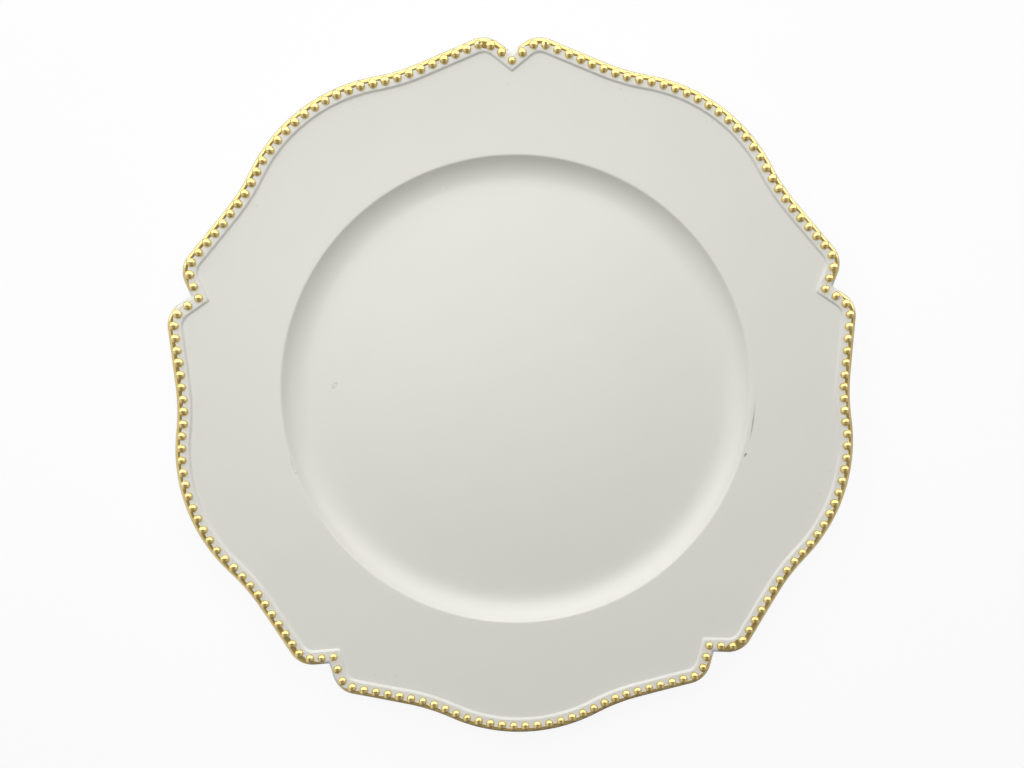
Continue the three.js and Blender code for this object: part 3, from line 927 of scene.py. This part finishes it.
# Scale, size and share of the specks, the distances from the edge in mm between which they fade out, their
# strength, and their colour.
LACQUER_SPECKS = [
    (1100.0, 0.3, 0.3, 5.5, 7.5, 0.7, GOLD_DUST),
    (420.0, 0.22, 0.2, 7.5, 20, 0.22, SCUFF),
]
lacquer, tree, shader, place = new_material("satin_lacquer")
tone = use_group(tree, tone_group, {
    "Place": place,
    "Scale": 35.0,
    "First": LACQUER_FIRST,
    "Second": LACQUER_SECOND,
})["Colour"]
wear = ramp(tree, noise(tree, place, scale=1200.0), low=0.35, high=0.6, to_low=0.5)
worn = math_node(tree, "MULTIPLY", attribute_node(tree, "upper"), wear)
for mark in LACQUER_MARKS:
    tone = lay_mark(tree, place, tone, mark, worn)
edge_distance = attribute_node(tree, "from_edge")
patches = ramp(tree, noise(tree, place, scale=45.0), low=0.5, high=0.65)
for scale, size, share, near, far, strength, colour in LACQUER_SPECKS:
    inputs = {"Place": place, "Scale": scale, "Size": size, "Share": share}
    specks = use_group(tree, speck_group, inputs)["Mask"]
    fading = ramp(tree, edge_distance, near * MM, far * MM, to_low=strength, to_high=0.0)
    laid = math_node(tree, "MULTIPLY", specks, math_node(tree, "MULTIPLY", fading, patches))
    tone = blend_node(tree, laid, tone, colour)
tree.links.new(tone, shader.inputs["Base Color"])
lacquer_roughness = ramp(tree, noise(tree, place, scale=40.0), low=0.2, high=0.8, to_low=0.285, to_high=0.315)
tree.links.new(lacquer_roughness, shader.inputs["Roughness"])
shader.inputs["Specular IOR Level"].default_value = LACQUER_SHINE
lacquer_grain = use_group(tree, ripple_group, {"Place": place, "Scale": 900.0})["Height"]
add_bump(tree, shader, lacquer_grain, strength=0.06, distance=0.2 * MM)
plate.data.materials.append(lacquer)
print("lacquer nodes:", len(tree.nodes))

# %% [markdown]
# ## Gold paint
# The gold is metallic paint under a clear film, so the shader is a metal with a clear coat. Where the
# paint is thin, at the feet of the free beads and at the inner border of the edge, the white moulding
# shows through along a ragged line. An image could hold that line, but each point of the mesh already
# knows how well the gold covers it, and noise makes the line ragged. Where it covers less, the gold is
# also painted darker, as painted shade in the crevices at the feet of the beads and between them.

# %% Gold paint
GOLD_FIRST = (0.66, 0.490, 0.162, 1)
GOLD_SECOND = (0.77, 0.590, 0.225, 1)
# A darker gold, painted as shade in the crevices at the feet of the beads and between them.
GOLD_PAINTED_SHADE = (0.63, 0.468, 0.160, 1)
WHITE_UNDER_GOLD = (0.755, 0.748, 0.691, 1)
RAGGED_DEPTH = 0.3
# Above this cover the gold gets no painted shade.
UNSHADED_COVER = 0.95
COAT_ROUGHNESS = 0.12
# Two beads have a small dark spot in their gold, given by lobe and bead number. Its half size is in mm.
DARK_SPOT_BEADS = [(1, -15.1), (5, 14.9)]
DARK_SPOT_INSET = 2.9 * MM
DARK_SPOT_HALF_SIZE = 0.9
DARK_SPOT_STRENGTH = 0.95
DARK_SPOT_COLOUR = (0.02, 0.018, 0.015, 1)
gold, tree, shader, place = new_material("gold_paint")
gold_tone = use_group(tree, tone_group, {
    "Place": place,
    "Scale": 160.0,
    "First": GOLD_FIRST,
    "Second": GOLD_SECOND,
})["Colour"]
cover_and_shade = attribute_node(tree, "cover_and_shade")
ragged = math_node(tree, "MULTIPLY", noise(tree, place, scale=1400.0), RAGGED_DEPTH)
gilt = ramp(tree, math_node(tree, "ADD", cover_and_shade, ragged), low=0.50, high=0.62)
# Painted shade: where the cover is low, the gold turns towards the darker shade colour.
crevice_shade = ramp(tree, cover_and_shade, LIP_COVER_AND_SHADE, UNSHADED_COVER)
gold_tone = blend_node(tree, crevice_shade, GOLD_PAINTED_SHADE, gold_tone)
base = blend_node(tree, gilt, WHITE_UNDER_GOLD, gold_tone)
for lobe, number in DARK_SPOT_BEADS:
    dark_spot = turned(edge_points(DARK_SPOT_INSET, place_at(number * bead_pitch)), lobe_turn(lobe))
    dark_spot_place = (np.linalg.norm(dark_spot) / MM, math.degrees(angle_of(dark_spot)), 0)
    dark_spot_mark = (*dark_spot_place, DARK_SPOT_HALF_SIZE, DARK_SPOT_HALF_SIZE, DARK_SPOT_STRENGTH, DARK_SPOT_COLOUR)
    base = lay_mark(tree, place, base, dark_spot_mark, 1.0)
tree.links.new(base, shader.inputs["Base Color"])
tree.links.new(gilt, shader.inputs["Metallic"])
gold_roughness = ramp(tree, noise(tree, place, scale=500.0), low=0.3, high=0.7, to_low=0.13, to_high=0.21)
tree.links.new(gold_roughness, shader.inputs["Roughness"])
shader.inputs["Coat Weight"].default_value = 1.0
shader.inputs["Coat Roughness"].default_value = COAT_ROUGHNESS
gold_ripple = use_group(tree, ripple_group, {"Place": place, "Scale": 1100.0})["Height"]
add_bump(tree, shader, gold_ripple, strength=0.25, distance=0.25 * MM)
for piece in gilt_pieces:
    piece.data.materials.append(gold)
print("gold nodes:", len(tree.nodes))

# %% [markdown]
# ## The studio
# The plate lies on white paper that runs up into a round backdrop, so every view has the same white
# behind it. Five soft lamps, most of them towards the back, give light and shade, with a little light
# from all round. Gloss doesn't mirror them. It mirrors a room drawn with nodes and a bright ceiling that
# lights nothing else. Real lamps would do both jobs at once, but set apart, a highlight can be moved
# without its shade.

# %% Floor and backdrop
SWEEP_RADIUS = 3.0
SWEEP_BEND = 1.0
SWEEP_HEIGHT = 1.6
SWEEP_MIDDLE = 0.02
SWEEP_SIDES = 96
SWEEP_FLOOR_RINGS = 8
SWEEP_BEND_RINGS = 10
bend = np.linspace(0, math.pi / 2, SWEEP_BEND_RINGS)
sweep_section = np.concatenate([
    level_section(np.linspace(SWEEP_MIDDLE, SWEEP_RADIUS - SWEEP_BEND, SWEEP_FLOOR_RINGS)[:-1], 0),
    np.stack([SWEEP_RADIUS - SWEEP_BEND * (1 - np.sin(bend)), SWEEP_BEND * (1 - np.cos(bend))], axis=-1),
    [[SWEEP_RADIUS, SWEEP_HEIGHT]],
])
sweep_rings = round_rings(sweep_section, unit(np.arange(SWEEP_SIDES) * 2 * math.pi / SWEEP_SIDES))
sweep_points = np.concatenate([sweep_rings.reshape(-1, 3), [[0, 0, 0]]])
sweep_faces = [
    grid_quads(len(sweep_section), SWEEP_SIDES),
    pole_fan(len(sweep_points) - 1, np.arange(SWEEP_SIDES)),
]
sweep = mesh_object("white_sweep", sweep_points, sweep_faces)
print("backdrop faces:", len(sweep.data.polygons))

# %% The room that gloss mirrors
# Brightness at the front and at the back of the room: of the ceiling, the walls and the paper near the
# plate.
CEILING = (0.38, 0.3)
WALLS = (0.27, 1.25)
NEAR_PAPER = (0.17, 0.6)
# Light that the two sides of the room have besides.
LEFT_SIDE = 0.7
RIGHT_SIDE = 0.45
# Where these change, in the X or the Y of a direction of length 1.
LEFT_SPAN = (-0.85, -0.15)
RIGHT_SPAN = (0.3, 0.85)
FRONT_SPAN = (-0.5, 0.25)
BORDER_SPAN = (0.24, 0.42)
DARKEST_SHARE = 0.8
# Distances in metres at which the near paper ends and the walls begin.
NEAR_FLOOR = 0.4
FAR_WALL = 2.4
PAPER_WHITE = (0.85, 0.85, 0.85, 1)
PAPER_ROUGHNESS = 0.9
PAPER_GLOW = 0.92


def room_mirrored(tree, direction, front_and_back):
    """Brightness of the mirrored room in a direction.

    It changes from the front to the back across a border, a little behind straight up. Just before the border
    the room is darkest, further to the front it is a little lighter again, and so are its sides, the left one
    most.
    """
    front, back = front_and_back
    axis = axes_of(tree, vector_node(tree, "NORMALIZE", direction)["Vector"])
    dim = ramp(tree, axis["Y"], *FRONT_SPAN, front, DARKEST_SHARE * front)
    dim = math_node(tree, "ADD", dim, ramp(tree, axis["X"], *LEFT_SPAN, LEFT_SIDE, 0.0))
    dim = math_node(tree, "ADD", dim, ramp(tree, axis["X"], *RIGHT_SPAN, 0.0, RIGHT_SIDE))
    return mix_node(tree, ramp(tree, axis["Y"], *BORDER_SPAN), dim, back)


def ray_kinds(tree):
    """Two masks: for rays that come straight from the camera, and for rays that gloss sends out."""
    rays = tree.nodes.new("ShaderNodeLightPath").outputs
    straight = math_node(tree, "MAXIMUM", rays["Is Camera Ray"], rays["Is Transmission Ray"])
    return straight, rays["Is Glossy Ray"]


# The paper is matt for light, even white for the camera, and the drawn room for gloss.
white, tree, shader, place = new_material("white_paper")
shader.inputs["Base Color"].default_value = PAPER_WHITE
shader.inputs["Roughness"].default_value = PAPER_ROUGHNESS
straight, glossy = ray_kinds(tree)
distance = vector_node(tree, "LENGTH", place)["Value"]
mirrored = mix_node(
    tree,
    ramp(tree, distance, NEAR_FLOOR, FAR_WALL),
    room_mirrored(tree, place, NEAR_PAPER),
    room_mirrored(tree, place, WALLS),
)
brightness = mix_node(tree, straight, mirrored, 1.0)
glow = add_node(tree, "ShaderNodeEmission", {"Color": (1, 1, 1, 1), "Strength": brightness})
seen = math_node(tree, "MAXIMUM", straight, glossy)
paper = add_node(tree, "ShaderNodeMixShader", {
    0: math_node(tree, "MULTIPLY", seen, PAPER_GLOW),
    1: shader.outputs[0],
    2: glow.outputs[0],
})
tree.links.new(paper.outputs[0], tree.nodes["Material Output"].inputs["Surface"])
sweep.data.materials.append(white)
print("paper nodes:", len(tree.nodes))

# %% Lamps
# Name, distance, angle from straight up and bearing in degrees, width, depth, radiance. Lengths are in
# metres.
LAMPS = [
    ("window", 0.83, 42, 105, 1.5, 0.62, 1.92),
    ("low_window", 1.1, 66, 115, 1.2, 0.4, 1.65),
    ("panel", 0.64, 27, 58, 0.5, 0.3, 1.75),
    ("left_spot", 0.33, 20, 165, 0.12, 0.12, 3.8),
    ("back_spot", 0.28, 12, 80, 0.12, 0.12, 1.8),
]
# The bright ceiling begins behind the plate.
CEILING_GLOW = 1.8
CEILING_HEIGHT = 0.6
CEILING_START = 0.2
CEILING_WIDTH = 5.0
CEILING_DEPTH = 2.7


def area_lamp(name, width, depth, radiance):
    """A rectangular lamp of one radiance all over that the camera doesn't see.

    It gives out pi times that radiance for each square metre of its face.
    """
    data = bpy.data.lights.new(name, "AREA")
    data.shape = "RECTANGLE"
    data.size = width
    data.size_y = depth
    data.energy = radiance * math.pi * width * depth
    lamp = bpy.data.objects.new(name, data)
    lamp.visible_camera = False
    bpy.context.scene.collection.objects.link(lamp)
    return lamp


def soft_lamp(name, distance, from_top, bearing, width, depth, radiance):
    """A lamp that faces the plate and that gloss doesn't mirror.

    from_top is its angle from straight up and bearing its direction seen from above, in degrees.
    """
    tilt = math.radians(from_top)
    flat = math.sin(tilt) * unit(math.radians(bearing))
    place = distance * Vector((flat[0], flat[1], math.cos(tilt)))
    lamp = area_lamp(name, width, depth, radiance)
    lamp.location = place
    lamp.rotation_mode = "QUATERNION"
    lamp.rotation_quaternion = (-place).to_track_quat("-Z", "Y")
    lamp.visible_glossy = False


for values in LAMPS:
    soft_lamp(*values)
ceiling = area_lamp("bright_ceiling", CEILING_WIDTH, CEILING_DEPTH, CEILING_GLOW)
ceiling.location = (0, CEILING_START + CEILING_DEPTH / 2, CEILING_HEIGHT)
ceiling.visible_diffuse = False
print("lamps:", len(LAMPS), "and the ceiling")

# %% Light from all round
# The room itself gives a dim light. Gloss mirrors more of it, and straight into the camera it is white.
ROOM_LIGHT = 0.06
world = bpy.data.worlds.new("room")
bpy.context.scene.world = world
world.use_nodes = True
tree = world.node_tree
straight, glossy = ray_kinds(tree)
direction = tree.nodes.new("ShaderNodeTexCoord").outputs["Generated"]
room = mix_node(tree, glossy, ROOM_LIGHT, room_mirrored(tree, direction, CEILING))
room = math_node(tree, "MAXIMUM", room, straight)
tree.links.new(room, tree.nodes["Background"].inputs["Strength"])
tree.nodes["Background"].inputs["Color"].default_value = (1, 1, 1, 1)
bpy.context.scene.view_settings.view_transform = "Standard"
print("room nodes:", len(tree.nodes))

# %% [markdown]
# ## The camera
# The photograph was taken from almost straight above, a little to the back of the axis. The focal length
# and the place come from fitting the plate's own outline and the circle of its well to the photograph.
# Turning a camera by eye would do for a picture, but only a fit lets every piece be compared in place.

# %% Camera
IMAGE_WIDTH = 1024
FOCAL_PIXELS = 950
SENSOR_WIDTH = 36
# Where the axis of the lens meets the picture, in pixels from its middle.
AXIS_RIGHT = 50.6
AXIS_UP = 12.7
CAMERA_PLACE = Vector((2.87, 46.87, 467.12)) * MM
CAMERA_TURN = Vector([math.radians(angle) for angle in (-4.593, -2.379, -0.957)])
camera_data = bpy.data.cameras.new("overhead_camera")
camera_data.sensor_width = SENSOR_WIDTH
camera_data.lens = FOCAL_PIXELS / IMAGE_WIDTH * SENSOR_WIDTH
camera_data.shift_x = -AXIS_RIGHT / IMAGE_WIDTH
camera_data.shift_y = -AXIS_UP / IMAGE_WIDTH
camera = bpy.data.objects.new("overhead_camera", camera_data)
turn = Matrix.Rotation(CAMERA_TURN.length, 4, CAMERA_TURN.normalized())
camera.matrix_world = Matrix.Translation(CAMERA_PLACE) @ turn
bpy.context.scene.collection.objects.link(camera)
bpy.context.scene.camera = camera
print("lens in mm:", round(camera_data.lens, 2))
